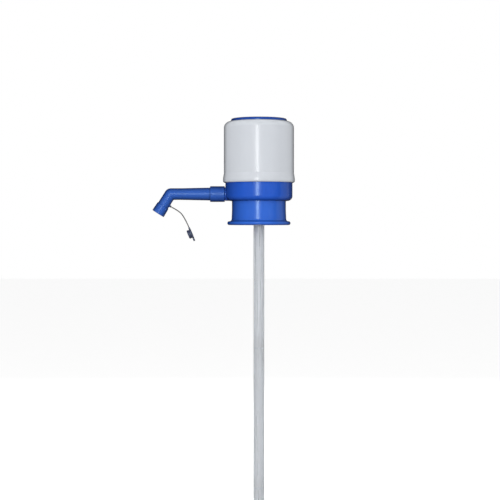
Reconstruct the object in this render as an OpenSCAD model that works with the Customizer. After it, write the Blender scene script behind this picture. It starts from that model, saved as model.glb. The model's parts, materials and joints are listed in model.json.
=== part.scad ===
// Hand pump for a water jug. A press button works a bellows inside a round cover, the bellows
// blows air into the jug, and the water rises through the dip tube and runs out of the spout.
// Millimetres, +Z up. The origin is on the pump's axis at the mouth of the neck collar, and
// the spout points along -X. The button is drawn pressed down, and slides up by its stroke.

/* [Neck collar] */
// Diameter of the collar's bore, for the crown of the jug's neck
neck_bore_d = 55.8; // [52:0.1:60]
// Wall of the collar
collar_wall = 2.3; // [1.6:0.1:3]
// Height of the collar, from its mouth to the underside of the base
collar_h = 27; // [24:0.5:36]
// How much wider the collar's foot is than its top, on each side
collar_draft = 0.5; // [0.2:0.1:1.5]
// How far the lip stands out from the collar's foot
lip_reach = 4.7; // [3.5:0.1:7]
// Thickness of the lip
lip_t = 4.2; // [2.4:0.1:5]
// Thickness of the collar's ceiling
ceiling_t = 2.5; // [2.4:0.1:4]
// Thickness of the gasket that the jug's rim seats on
gasket_t = 2.5; // [1.5:0.1:3.5]
// Width of that gasket
gasket_w = 7.5; // [5:0.1:7.8]

/* [Base] */
// Diameter of the base drum
base_d = 75.2; // [73:0.2:90]
// Height of the base that shows between the collar and the cover
base_h = 20.3; // [19.4:0.1:30]
// Wall of the base drum
base_wall = 2.2; // [1.8:0.1:2.8]
// Radius of the drum's lower edge
base_round = 5.5; // [3:0.5:6]
// Thickness of the base's floor
floor_t = 2; // [1.6:0.1:2.4]
// Thickness of the deck that closes the drum
deck_t = 3; // [2.4:0.1:4]
// Diameter of the water passage across the base
duct_d = 9; // [7:0.2:9.6]
// Diameter of the boss that carries the spout's nipple
boss_d = 15.2; // [14.8:0.1:16]
// How far the wall of the base goes up inside the cover
cover_overlap = 9; // [7:0.5:14]

/* [Cover] */
// Height of the cover
cover_h = 68.7; // [66:0.1:100]
// Wall of the cover
cover_wall = 2; // [1.6:0.1:2.6]
// Wall of the cover's rim, where it goes round the base
rim_wall = 2.5; // [2.2:0.1:4]
// How far the rim stands out from the cover's side
rim_flare = 1; // [0.5:0.05:1.2]
// Height of the flared rim
rim_h = 10.6; // [9:0.1:18]
// Radius of the cover's shoulder
shoulder_r = 7.4; // [3:0.1:7.4]
// Thickness of the cover's top
cover_top_t = 2.2; // [1.6:0.1:3]
// Width of the flat on the cover's top, between its shoulder and the button's opening
top_land = 0.2; // [0.1:0.1:2]

/* [Button] */
// How far the button travels
stroke = 38; // [20:1:40]
// How far the pressed button stands out of the cover
button_proud = 4.2; // [2.5:0.1:8]
// Wall of the button's skirt
skirt_wall = 2; // [1.5:0.1:2.4]
// Thickness of the button's top
button_top_t = 2.5; // [2:0.1:4]
// Height of the crown on the button's top
crown_h = 1.2; // [0.4:0.1:2]

/* [Bellows and spring] */
// Height of the pressed bellows, from flange to flange
bellows_h = 35.5; // [30:0.5:38]
// Depth of the bellows' folds
fold_depth = 5.5; // [4:0.1:6]
// Number of folds
folds = 6; // [4:1:7]
// Wall of the bellows
bellows_wall = 0.9; // [0.6:0.1:1]
// Wire diameter of the return spring
wire_d = 1.4; // [1:0.1:1.6]
// Mean diameter of the return spring
spring_d = 18; // [16:0.2:18.6]
// Number of turns of the return spring
spring_turns = 8; // [6:1:10]

/* [Spout] */
// Distance from the pump's axis to the bend of the spout
spout_reach = 99.2; // [88:0.2:140]
// Angle that the spout turns down by
spout_bend = 57.5; // [30:0.5:80]
// Length from the bend to the mouth
tip_l = 25.9; // [25:0.1:40]
// Outer diameter of the pipe at its root
pipe_root_d = 14.4; // [13.6:0.1:15.4]
// Outer diameter of the pipe at its bend
pipe_d = 13; // [12.2:0.1:13.4]
// Bore of the pipe
pipe_bore_d = 10.2; // [9:0.1:10.4]
// Outer diameter of the socket that goes over the nipple
socket_d = 17.6; // [16:0.1:18.4]
// Length of the socket
socket_l = 16.5; // [13:0.1:20]
// Outer diameter of the nozzle ring at the mouth
nozzle_d = 15; // [14.4:0.1:16]
// Length of the nozzle ring
nozzle_l = 10.6; // [8:0.1:11]

/* [Cap and tether] */
// Diameter of the cap's flange
cap_d = 12.4; // [12:0.1:16]
// Thickness of the cap's flange
cap_t = 1.8; // [1.2:0.1:2.5]
// Height of the cap's plug
plug_h = 3.2; // [2:0.1:5]
// Diameter of the tether
tether_d = 1.3; // [1:0.1:1.6]

/* [Dip tube] */
// Outer diameter of the dip tube
tube_d = 12; // [11:0.1:12.6]
// Wall of the dip tube
tube_wall = 1.2; // [1:0.1:1.5]
// Length of each of the three sections
section_l = 155; // [80:1:180]
// How far a joiner goes into each section
joint_l = 12; // [8:0.5:20]

/* [Hidden] */
$fn = 96;

blue = [0.09, 0.22, 0.66];
white = [0.84, 0.86, 0.88];
milk = [0.90, 0.92, 0.94];
rubber = [0.16, 0.17, 0.19];
silicone = [0.75, 0.78, 0.80];
steel = [0.70, 0.71, 0.73];

// Clearances
fit = 0.05;          // between pieces that are pushed together
run = 0.08;          // between the spout's socket and its nipple
touch = 0.02;        // where a soft piece or a stop meets its seat
cover_gap = 0.15;    // between the base and the cover
deck_gap = 0.15;     // between the base and the deck
slide_gap = 0.3;     // between the button and the cover
bellows_gap = 1.2;   // between the bellows and the button's skirt
turn_gap = 0.3;      // between the end of the spout's socket and its boss
eps = 0.5;           // how far joined shapes run into each other

// Neck collar
neck_r = neck_bore_d / 2;
collar_r = neck_r + collar_wall;
foot_r = collar_r + collar_draft;
draft_top = collar_h * 0.62;
lip_r = foot_r + lip_reach;
lip_fillet = min(3, lip_reach - lip_t / 2);
ceiling_z = collar_h - ceiling_t;
seat_z = ceiling_z - gasket_t;
grip_z = 5.5;
grip_h = 6.5;
grip_depth = 0.8;
grip_bite = 0.5;
grip_lips = 3;
seal_wire_d = 1.5;
seal_r = neck_r - 3.9;

// Base drum, with the passage that takes the water to the spout
base_r = base_d / 2;
base_in_r = base_r - base_wall;
base_top = collar_h + base_h;
wall_top = base_top + cover_overlap;
floor_z = collar_h + floor_t;
duct_r = duct_d / 2;
duct_wall = 1.6;
boss_r = boss_d / 2;
boss_reach = 0.3;
spout_z = collar_h + boss_r + 0.1;
riser_r = duct_r + 0.5;
riser_top = spout_z + duct_r + 1;
snap_h = 0.3;
snap_w = 1;
snap_z = base_top + cover_overlap * 0.6;

// Deck that closes the drum, on a ledge and screwed to four posts
deck_top = base_top + 1.7;
deck_z = deck_top - deck_t;
ledge_w = 1.6;
ledge_h = 1.6;

// Spigot under the base, which the collar and the dip tube hang from
tube_r = tube_d / 2;
spigot_wall = 1.95;
spigot_r = tube_r + fit + spigot_wall;
spigot_l = 21;
tube_seat_z = collar_h - 9;
nut_h = 6;
nut_r = spigot_r + 4.5;
nut_notches = 10;
notch_r = 1.4;
washer_t = 1.2;

// Air passage from the bellows down into the neck, beside the spigot
port_r = 2.5;
port_x = nut_r + port_r + 0.75;
chamber_r = 6;
chamber_wall = 1.6;
duct_gasket_t = 1.4;

// Umbrella valves
stem_r = 1.2;
valve_r = 4.6;
vent_ring_r = 2.8;
vent_r = 0.8;
vents = 6;
vent_start = 30;

// Screws, and the posts they go into
screw_r = 1.35;
screw_play = 0.2;
screw_l = 9;
screw_head_r = 2.6;
screw_head_h = 2;
recess_w = 0.7;
recess_l = 3.2;
recess_h = 0.9;
post_r = 3.2;
deck_screw_n = 4;
deck_screw_start = 45;
plate_screw_n = 3;
plate_screw_start = 30;

// Cover
rim_r = base_r + cover_gap + rim_wall;
rim_round = 2.2;
cover_r = rim_r - rim_flare;
cover_in_r = cover_r - cover_wall;
cover_top = base_top + cover_h;
opening_r = cover_r - shoulder_r - top_land;
button_r = opening_r - slide_gap;
inner_round = shoulder_r - cover_wall;

// Bellows, clamped on a seat at each end
bellows_r = button_r - skirt_wall - bellows_gap;
fold_in_r = bellows_r - fold_depth;
flange_t = 1.2;
flange_r = bellows_r - 1;
ring_seat_h = 3;
ring_seat_w = 5.5;
ring_wall = 1.2;
ring_lip = 1.6;
ring_top_t = 1.2;
bellows_z = deck_top + ring_seat_h;
bellows_top = bellows_z + bellows_h;
fold_pitch = (bellows_h - 2 * flange_t) / folds;
fold_shift = bellows_wall * norm([fold_pitch / 2, fold_depth]) / (fold_pitch / 2);
deck_screw_ring = flange_r + ring_wall + 0.4 + screw_head_r;
plate_t = ring_seat_h;
plate_top = bellows_top + plate_t;

// Spring, centred by a guide ring at each end
guide_r = spring_d / 2 + wire_d / 2 + 0.5;
guide_wall = 1.2;
guide_h = 2;
spring_steps = 16;
spring_sides = 6;

// Plate screws, in the room between the guide ring and the bellows' inner wall
lip_in_r = fold_in_r - fold_shift;
plate_screw_share = 0.5909;
plate_room_in = guide_r + guide_wall + screw_head_r;
plate_room_out = lip_in_r - screw_head_r;
plate_screw_ring = plate_room_in + plate_screw_share * (plate_room_out - plate_room_in);

// Button, with a flange round its skirt that stops it under the cover's top, just inside the
// round of the cover's shoulder
button_top = cover_top + button_proud;
edge_top = button_top - crown_h;
edge_r = 2;
stop_t = 2;
stop_r = cover_in_r - inner_round + sqrt(slide_gap * (2 * inner_round - slide_gap)) - slide_gap;
stop_top = cover_top - cover_top_t - stroke - slide_gap;

// Spout, pushed over the nipple and free to turn on it
nipple_r = 6.6;
nipple_root = base_r + boss_reach;
socket_start = nipple_root + turn_gap;
socket_end = socket_start + socket_l;
nipple_end = socket_end - 1.1;
groove_x = nipple_root + 6;
groove_w = 2.2;
groove_d = 1;
seal_section_r = (groove_d + run - 2 * touch) / 2;
pipe_r = pipe_d / 2;
pipe_bore_r = pipe_bore_d / 2;
bend_r = 1.1;
bend_run = bend_r * tan(spout_bend / 2);
taper_end = spout_reach - 12;
mouth_lip = 1.4;
nozzle_draft = 0.35;
nozzle_chamfer = 0.3;

// Lug under the tip, with the bead that the tether flexes at
lug_s = 11.7;
lug_r = 1.8;
lug_h = 0.45;
lug_top = pipe_r + lug_h;
bead_pin_r = 0.8;
bead_r = 1.1;
bead_h = lug_top + 0.9;

// Route of the tether from the bead to the cap, as points in the XZ plane
tether_path = [
  [-97.85, 19.95], [-96.0, 19.0], [-94.1, 17.95], [-92.2, 16.8], [-90.4, 15.6],
  [-88.7, 14.35], [-87.2, 12.95], [-85.9, 11.4], [-84.8, 9.7], [-83.7, 8.0],
  [-82.7, 6.2], [-81.7, 4.3], [-80.8, 2.4], [-79.9, 0.5], [-79.1, -1.2], [-78.5, -2.6]
];
tether_sides = 8;
cap_lean = 22.5;
cap_neck_l = 1.2;
cap_neck_w = 2.6;
tab_l = 2.8;
tab_w = 5;
plug_r = pipe_bore_r - 0.1;
plug_wall = 1.1;

// Dip tube
tube_in_r = tube_r - tube_wall;
joiner_rim = 2;
joiner_wall = 1.1;
foot_notch_w = 4;
foot_notch_h = 5;
upper_z = tube_seat_z - touch;
middle_z = upper_z - section_l - joiner_rim;
lower_z = middle_z - section_l - joiner_rim;

// A ring between two radii and two heights.
module ring(r_in, r_out, z0, z1) {
  difference() {
    translate([0, 0, z0]) cylinder(r = r_out, h = z1 - z0);
    translate([0, 0, z0 - eps]) cylinder(r = r_in, h = z1 - z0 + 2 * eps);
  }
}

// A quarter of a disc, and what a disc leaves of the corner it rolls in.
module quarter(r) intersection() { circle(r); square(r); }
module cove(r) difference() { square(r); translate([r, r]) circle(r); }

// Copies of the children on a ring of n places.
module on_ring(n, r, start = 0) {
  for (i = [0 : n - 1]) rotate([0, 0, start + i * 360 / n]) translate([r, 0, 0]) children();
}

// Copies of the children at the screws of the deck, and of the pressure plate.
module at_deck_screws() {
  on_ring(deck_screw_n, deck_screw_ring, deck_screw_start) children();
}
module at_plate_screws() {
  on_ring(plate_screw_n, plate_screw_ring, plate_screw_start) children();
}

// Half profile of a drum from z0 to z1 with its upper edge rounded.
module shouldered(r, z0, z1, round_r) {
  translate([0, z0]) square([r - round_r, z1 - z0]);
  translate([r - round_r - eps, z0]) square([round_r + eps, z1 - z0 - round_r]);
  translate([r - round_r, z1 - round_r]) quarter(round_r);
}

// Half profile of a drum from z0 to z1 with its lower edge rounded.
module footed(r, z0, z1, round_r) {
  translate([0, z0 + z1]) mirror([0, 1]) shouldered(r, z0, z1, round_r);
}

// Frames of the spout: along its own axis, and along its tip from the bend downwards.
module along_spout() translate([0, 0, spout_z]) rotate([0, -90, 0]) children();
module along_tip() {
  translate([-spout_reach, 0, spout_z]) rotate([0, 270 - spout_bend, 0]) children();
}
module at_lug() along_tip() translate([0, 0, lug_s]) rotate([0, -90, 0]) children();

// A round bar that follows the spout from x0, round the bend, to the length l of the tip.
module bent_bar(r, x0, l) {
  run_end = spout_reach - bend_run;
  along_spout() translate([0, 0, x0]) cylinder(r = r, h = run_end - x0);
  translate([-run_end, 0, spout_z - bend_r]) rotate([90, 0, 0]) rotate([0, 0, 90])
    rotate_extrude(angle = spout_bend) intersection() {
      translate([bend_r, 0]) circle(r);
      translate([0, -r]) square([bend_r + r, 2 * r]);
    }
  along_tip() translate([0, 0, bend_run]) cylinder(r = r, h = l - bend_run);
}

// A pan-head screw with a cross recess, head up, seated at z = 0.
module pan_screw() {
  difference() {
    union() {
      translate([0, 0, -screw_l]) cylinder(r = screw_r - fit, h = screw_l);
      rotate_extrude() shouldered(screw_head_r, 0, screw_head_h, screw_head_h / 2);
    }
    for (a = [0, 90]) rotate([0, 0, a])
      translate([-recess_l / 2, -recess_w / 2, screw_head_h - recess_h])
        cube([recess_l, recess_w, recess_h + eps]);
  }
}

// An umbrella valve through a wall of thickness t, its skirt under the wall's face at z = 0.
module umbrella_valve(t) {
  rotate_extrude() polygon([
    [0, -1.7], [1.9, -1.6], [valve_r - 0.3, -0.8], [valve_r, -0.45], [valve_r, -touch],
    [valve_r - 0.7, -touch], [2, -0.5], [stem_r - fit, -0.5], [stem_r - fit, t + touch],
    [stem_r + 0.5, t + touch], [stem_r + 0.2, t + 0.7], [stem_r - 0.5, t + 1.5], [0, t + 1.5]
  ]);
}

// The holes that an umbrella valve needs in its wall.
module valve_holes(t) {
  translate([0, 0, -eps]) cylinder(r = stem_r, h = t + 2 * eps);
  on_ring(vents, vent_ring_r, vent_start) translate([0, 0, -eps])
    cylinder(r = vent_r, h = t + 2 * eps);
}

// A ring that snaps over a seat of radius flange_r and holds the bellows' flange on it.
module clamp_ring() {
  h = ring_seat_h + flange_t + touch;
  difference() {
    cylinder(r = flange_r + ring_wall, h = h + ring_top_t);
    translate([0, 0, -eps]) cylinder(r = flange_r + fit, h = h + eps);
    translate([0, 0, h - eps]) cylinder(r = flange_r - ring_lip, h = ring_top_t + 2 * eps);
  }
}

// A round wire with flat ends, swept through points that each have two cross directions.
module swept_wire(points, across, up, r, sides) {
  n = len(points);
  verts = [for (i = [0 : n - 1]) for (k = [0 : sides - 1])
    let (a = 360 * k / sides) points[i] + r * (cos(a) * across[i] + sin(a) * up[i])];
  walls = [for (i = [0 : n - 2]) for (k = [0 : sides - 1])
    let (k2 = (k + 1) % sides, a = i * sides, b = a + sides) each [
      [a + k, b + k, b + k2], [a + k, b + k2, a + k2]]];
  caps = [[for (k = [0 : sides - 1]) k], [for (k = [sides - 1 : -1 : 0]) (n - 1) * sides + k]];
  polyhedron(points = verts, faces = concat(walls, caps), convexity = 10);
}

// Height of the spring's centre line after t turns, with a closed turn at each end.
function spring_rise(t, turns, h, closed) =
  t < 1 ? t * closed :
  t > turns - 1 ? h - (turns - t) * closed :
  closed + (t - 1) * (h - 2 * closed) / (turns - 2);

module neck_collar() color(blue) {
  difference() {
    rotate_extrude() difference() {
      union() {
        // lip with a round edge
        square([lip_r - lip_t / 2, lip_t]);
        translate([lip_r - lip_t / 2, lip_t / 2]) intersection() {
          circle(lip_t / 2);
          translate([0, -lip_t / 2]) square([lip_t / 2, lip_t]);
        }
        // collar, a little wider at its foot
        polygon([[0, 0], [foot_r, 0], [foot_r, lip_t], [collar_r, draft_top],
                 [collar_r, collar_h], [0, collar_h]]);
        // flare from the collar to the lip
        translate([foot_r - 0.1, lip_t - 0.01]) cove(lip_fillet);
      }
      translate([0, -eps]) square([neck_r, ceiling_z + eps]);
      translate([0, grip_z]) square([neck_r + grip_depth, grip_h]);
      translate([seal_r - seal_wire_d / 2 - fit, collar_h - seal_wire_d])
        square([seal_wire_d + 2 * fit, seal_wire_d + eps]);
    }
    translate([0, 0, ceiling_z - eps]) cylinder(r = spigot_r + fit, h = ceiling_t + 2 * eps);
    translate([port_x, 0, ceiling_z - eps]) cylinder(r = port_r, h = ceiling_t + 2 * eps);
  }
}

module neck_gasket() color(silicone) {
  ring(neck_r - fit - gasket_w, neck_r - fit, seat_z, ceiling_z);
}

module neck_grip_ring() color(silicone) {
  h = grip_h - 2 * fit;
  out_r = neck_r + grip_depth - fit;
  pitch = h / grip_lips;
  rotate_extrude() translate([0, grip_z + fit]) polygon(concat(
    [[out_r, 0], [out_r, h]],
    [for (i = [grip_lips - 1 : -1 : 0]) each [
      [neck_r - fit, (i + 1) * pitch], [neck_r - grip_bite, (i + 0.6) * pitch]]],
    [[neck_r - fit, 0]]
  ));
}

module collar_seal() color(rubber) {
  translate([0, 0, collar_h - seal_wire_d / 2 - touch])
    rotate_extrude() translate([seal_r, 0]) circle(seal_wire_d / 2 - touch);
}

module pump_base() color(blue) {
  difference() {
    union() {
      // drum, with a snap bead under the cover
      rotate_extrude() difference() {
        union() {
          footed(base_r, collar_h, wall_top, base_round);
          translate([base_r, snap_z])
            polygon([[-eps, -snap_w], [0, -snap_w], [snap_h, 0], [0, snap_w], [-eps, snap_w]]);
        }
        translate([0, floor_z]) square([base_r - base_round, wall_top]);
        translate([0, collar_h + base_round]) square([base_in_r, wall_top]);
      }
      // ledge and posts under the deck
      ring(base_in_r - ledge_w, base_in_r + eps, deck_z - ledge_h, deck_z);
      at_deck_screws() translate([0, 0, floor_z - eps])
        cylinder(r = post_r, h = deck_z - fit - floor_z + eps);
      // water passage: up the spigot, across the drum and out through the nipple
      translate([0, 0, collar_h - spigot_l]) cylinder(r = spigot_r, h = spigot_l + eps);
      translate([0, 0, floor_z - eps])
        cylinder(r = riser_r + duct_wall, h = riser_top + duct_wall - floor_z + eps);
      along_spout() cylinder(r = duct_r + duct_wall, h = base_r);
      along_spout() translate([0, 0, base_r - base_round - 1])
        cylinder(r = boss_r, h = nipple_root - base_r + base_round + 1);
      along_spout() translate([0, 0, nipple_root - eps])
        cylinder(r = nipple_r, h = nipple_end - nipple_root + eps);
    }
    along_spout() cylinder(r = duct_r, h = nipple_end + eps);
    translate([0, 0, tube_seat_z - eps]) cylinder(r = riser_r, h = riser_top - tube_seat_z + eps);
    translate([0, 0, collar_h - spigot_l - eps])
      cylinder(r = tube_r + fit, h = tube_seat_z - collar_h + spigot_l + eps);
    along_spout() ring(nipple_r - groove_d, nipple_r + eps,
      groove_x - groove_w / 2, groove_x + groove_w / 2);
    translate([port_x, 0, collar_h - eps]) cylinder(r = port_r, h = floor_t + 2 * eps);
    at_deck_screws() translate([0, 0, deck_top - screw_l - 1])
      cylinder(r = screw_r, h = screw_l + 1);
  }
}

module clamp_nut() color(milk) {
  z0 = ceiling_z - washer_t - nut_h;
  difference() {
    ring(spigot_r + fit, nut_r, z0, z0 + nut_h);
    on_ring(nut_notches, nut_r + notch_r / 3) translate([0, 0, z0 - eps])
      cylinder(r = notch_r, h = nut_h + 2 * eps);
  }
}

module nut_washer() color(rubber) {
  ring(spigot_r + fit, nut_r - notch_r / 2, ceiling_z - washer_t, ceiling_z);
}

module pump_deck() color(milk) {
  difference() {
    union() {
      translate([0, 0, deck_z]) cylinder(r = base_in_r - deck_gap, h = deck_t);
      ring(flange_r - ring_seat_w, flange_r, deck_top - eps, deck_top + ring_seat_h);
      ring(guide_r, guide_r + guide_wall, deck_top - eps, deck_top + guide_h);
      translate([port_x, 0, floor_z + duct_gasket_t])
        cylinder(r = chamber_r + chamber_wall, h = deck_z - floor_z - duct_gasket_t + eps);
    }
    translate([port_x, 0, floor_z]) cylinder(r = chamber_r, h = deck_z - floor_z);
    translate([port_x, 0, deck_z]) valve_holes(deck_t);
    at_deck_screws() translate([0, 0, deck_z - eps])
      cylinder(r = screw_r + screw_play, h = deck_t + 2 * eps);
  }
}

module deck_screws() color(steel) {
  at_deck_screws() translate([0, 0, deck_top]) pan_screw();
}

module duct_gasket() color(rubber) translate([port_x, 0, 0]) {
  ring(chamber_r - chamber_wall, chamber_r + chamber_wall, floor_z, floor_z + duct_gasket_t);
}

module outlet_valve() color(rubber) translate([port_x, 0, deck_z]) umbrella_valve(deck_t);

module outer_cover() color(white) {
  in_top = cover_top - cover_top_t;
  bore_r = base_r + cover_gap;
  rotate_extrude() difference() {
    union() {
      shouldered(cover_r, base_top + rim_round, cover_top, shoulder_r);
      // rim: a soft flare that turns in at its lower edge
      footed(rim_r, base_top, base_top + rim_round + eps, rim_round);
      translate([0, base_top]) polygon([[0, rim_round + eps / 2], [rim_r, rim_round + eps / 2],
        [rim_r, rim_h * 0.4], [rim_r - rim_flare * 0.35, rim_h * 0.65], [cover_r, rim_h],
        [0, rim_h]]);
    }
    // bore for the base's wall, with a groove for its snap bead
    translate([0, base_top - eps]) square([bore_r, cover_overlap + touch + eps]);
    translate([bore_r, snap_z]) polygon([[-eps, -snap_w - 0.2], [0, -snap_w - 0.2],
      [snap_h + fit, 0], [0, snap_w + 0.2], [-eps, snap_w + 0.2]]);
    // inside, up to the opening for the button
    shouldered(cover_in_r, base_top, in_top, inner_round);
    square([opening_r, cover_top + eps]);
  }
}

module lower_clamp_ring() color(milk) translate([0, 0, deck_top]) clamp_ring();

module bellows() color(rubber) {
  z0 = bellows_z + flange_t;
  z1 = bellows_top - flange_t;
  lip_out_r = flange_r - 2 * fit;
  outside = [for (i = [0 : folds - 1]) each [
    [fold_in_r, z0 + i * fold_pitch], [bellows_r, z0 + (i + 0.5) * fold_pitch]],
    [fold_in_r, z1]];
  inside = [for (i = [len(outside) - 1 : -1 : 0]) [outside[i][0] - fold_shift, outside[i][1]]];
  rotate_extrude() polygon(concat(
    [[lip_in_r, bellows_z + touch], [lip_out_r, bellows_z + touch], [lip_out_r, z0]],
    outside,
    [[lip_out_r, z1], [lip_out_r, bellows_top - touch], [lip_in_r, bellows_top - touch]],
    inside
  ));
}

module return_spring() color(steel) {
  h = bellows_top - deck_top - wire_d - 2 * touch;
  z0 = deck_top + wire_d / 2 + touch;
  turns = [for (i = [0 : spring_turns * spring_steps]) i / spring_steps];
  radial = [for (t = turns) [cos(360 * t), sin(360 * t), 0]];
  rise = [for (t = turns) [0, 0, z0 + spring_rise(t, spring_turns, h, wire_d * 1.05)]];
  swept_wire(radial * spring_d / 2 + rise, radial, [for (t = turns) [0, 0, 1]],
    wire_d / 2, spring_sides);
}

module press_button() color(blue) {
  flat_r = button_r - edge_r;
  crown_r = (pow(flat_r, 2) + pow(crown_h, 2)) / (2 * crown_h);
  top_in = edge_top + crown_h / 2 - button_top_t;
  foot = stop_top - stop_t;
  difference() {
    union() {
      rotate_extrude() difference() {
        union() {
          shouldered(button_r, foot, edge_top, edge_r);
          translate([0, edge_top - eps]) square([flat_r, eps]);
          translate([0, edge_top]) intersection() {
            translate([0, crown_h - crown_r]) circle(crown_r, $fn = 1440);
            square([flat_r, crown_h]);
          }
          translate([0, foot]) square([stop_r, stop_t]);
        }
        translate([0, foot - eps]) square([button_r - skirt_wall, top_in - foot + eps]);
      }
      // posts that carry the pressure plate
      at_plate_screws() translate([0, 0, plate_top])
        cylinder(r = post_r, h = top_in - plate_top + eps);
    }
    at_plate_screws() translate([0, 0, plate_top - plate_t])
      cylinder(r = screw_r, h = screw_l + 1);
  }
}

module pressure_plate() color(milk) {
  z0 = plate_top - plate_t;
  difference() {
    union() {
      translate([0, 0, z0]) cylinder(r = flange_r, h = plate_t);
      ring(guide_r, guide_r + guide_wall, z0 - guide_h, z0 + eps);
    }
    translate([0, 0, z0]) valve_holes(plate_t);
    at_plate_screws() translate([0, 0, z0 - eps])
      cylinder(r = screw_r + screw_play, h = plate_t + 2 * eps);
  }
}

module plate_screws() color(steel) {
  at_plate_screws() translate([0, 0, plate_top - plate_t])
    rotate([180, 0, 0]) pan_screw();
}

module upper_clamp_ring() color(milk) {
  translate([0, 0, plate_top]) mirror([0, 0, 1]) clamp_ring();
}

module intake_valve() color(rubber) {
  translate([0, 0, plate_top - plate_t]) umbrella_valve(plate_t);
}

module spout_seal() color(rubber) {
  along_spout() translate([0, 0, groove_x]) rotate_extrude()
    translate([nipple_r - groove_d + seal_section_r + touch, 0]) circle(seal_section_r);
}

module spout_pipe() color(blue) {
  difference() {
    union() {
      along_spout() translate([0, 0, socket_start]) cylinder(r = socket_d / 2, h = socket_l);
      along_spout() translate([0, 0, socket_end - eps])
        cylinder(r1 = pipe_root_d / 2, r2 = pipe_r, h = taper_end - socket_end + eps);
      bent_bar(pipe_r, taper_end, tip_l - mouth_lip);
      at_lug() cylinder(r = lug_r, h = lug_top);
    }
    along_spout() translate([0, 0, socket_start - eps])
      cylinder(r = nipple_r + run, h = nipple_end + turn_gap - socket_start + eps);
    bent_bar(pipe_bore_r, nipple_end, tip_l);
    at_lug() translate([0, 0, pipe_bore_r]) cylinder(r = bead_pin_r + fit, h = lug_top);
  }
}

module nozzle_ring() color(blue) along_tip() {
  z0 = tip_l - nozzle_l;
  r1 = nozzle_d / 2;
  r0 = r1 - nozzle_draft;
  c = nozzle_chamfer;
  rotate_extrude() difference() {
    polygon([[0, z0], [r0 - c, z0], [r0, z0 + c], [r1, tip_l - c], [r1 - c, tip_l], [0, tip_l]]);
    translate([0, z0 - eps]) square([pipe_bore_r, nozzle_l + 2 * eps]);
    translate([0, z0 - eps]) square([pipe_r + fit, nozzle_l + eps - mouth_lip]);
  }
}

module tether_bead() color(silicone) at_lug() {
  translate([0, 0, pipe_bore_r + touch]) cylinder(r = bead_pin_r, h = bead_h - pipe_bore_r - touch);
  translate([0, 0, bead_h]) sphere(r = bead_r);
}

module cap_tether() color(silicone) {
  n = len(tether_path);
  points = [for (p = tether_path) [p[0], 0, p[1]]];
  ways = [for (i = [0 : n - 1])
    i == 0 ? [sin(spout_bend), 0, -cos(spout_bend)] :
    i == n - 1 ? [sin(cap_lean), 0, -cos(cap_lean)] :
    points[i + 1] - points[i - 1]];
  side = [0, 1, 0];
  swept_wire(points, [for (w = ways) cross(side, w / norm(w))], [for (w = ways) side],
    tether_d / 2, tether_sides);
}

module spout_cap() color(blue) {
  end = tether_path[len(tether_path) - 1];
  mid = cap_neck_l + cap_d / 2;
  tab_z = mid + cap_d / 2 + tab_l - tab_w / 2;
  translate([end[0], 0, end[1]]) rotate([0, 180 - cap_lean, 0]) difference() {
    union() {
      translate([-cap_t / 2, -cap_neck_w / 2, 0]) cube([cap_t, cap_neck_w, mid]);
      translate([-cap_t / 2, 0, mid]) rotate([0, 90, 0]) cylinder(r = cap_d / 2, h = cap_t);
      translate([-cap_t / 2, -tab_w / 2, mid]) cube([cap_t, tab_w, tab_z - mid]);
      translate([-cap_t / 2, 0, tab_z]) rotate([0, 90, 0]) cylinder(r = tab_w / 2, h = cap_t);
      translate([0, 0, mid]) rotate([0, 90, 0]) cylinder(r = plug_r, h = cap_t / 2 + plug_h);
    }
    translate([cap_t / 2, 0, mid]) rotate([0, 90, 0])
      cylinder(r = plug_r - plug_wall, h = plug_h + eps);
  }
}

// One section of the dip tube with its top at z.
module tube_section(z) ring(tube_in_r, tube_r, z - section_l, z);

// A joiner between two sections, with its rim on the section that ends at z.
module joiner(z) {
  plug = tube_in_r - fit;
  difference() {
    union() {
      translate([0, 0, z]) cylinder(r = tube_r, h = joiner_rim);
      translate([0, 0, z - joint_l]) cylinder(r = plug, h = joiner_rim + 2 * joint_l);
    }
    translate([0, 0, z - joint_l - eps])
      cylinder(r = plug - joiner_wall, h = joiner_rim + 2 * joint_l + 2 * eps);
  }
}

module upper_tube() color(milk) tube_section(upper_z);
module middle_tube() color(milk) tube_section(middle_z);
module lower_tube() color(milk) difference() {
  tube_section(lower_z);
  for (a = [0, 90]) rotate([0, 0, a])
    translate([-tube_d, -foot_notch_w / 2, lower_z - section_l - eps])
      cube([2 * tube_d, foot_notch_w, foot_notch_h + eps]);
}
module upper_joiner() color(milk) joiner(middle_z);
module lower_joiner() color(milk) joiner(lower_z);

neck_collar();
neck_gasket();
neck_grip_ring();
collar_seal();
pump_base();
clamp_nut();
nut_washer();
pump_deck();
deck_screws();
duct_gasket();
outlet_valve();
outer_cover();
lower_clamp_ring();
bellows();
return_spring();
press_button();
pressure_plate();
plate_screws();
upper_clamp_ring();
intake_valve();
spout_seal();
spout_pipe();
nozzle_ring();
tether_bead();
cap_tether();
spout_cap();
upper_tube();
middle_tube();
lower_tube();
upper_joiner();
lower_joiner();
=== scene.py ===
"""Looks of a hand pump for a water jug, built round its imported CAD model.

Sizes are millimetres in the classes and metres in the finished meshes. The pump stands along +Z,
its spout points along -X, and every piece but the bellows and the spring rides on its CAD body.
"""

import json
import logging
import math
from collections.abc import Iterable, Sequence
from dataclasses import dataclass
from enum import Enum
from typing import NamedTuple

import bmesh
import bpy
from bmesh.types import BMEdge, BMesh, BMVert
from mathutils import Matrix, Vector

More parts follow.
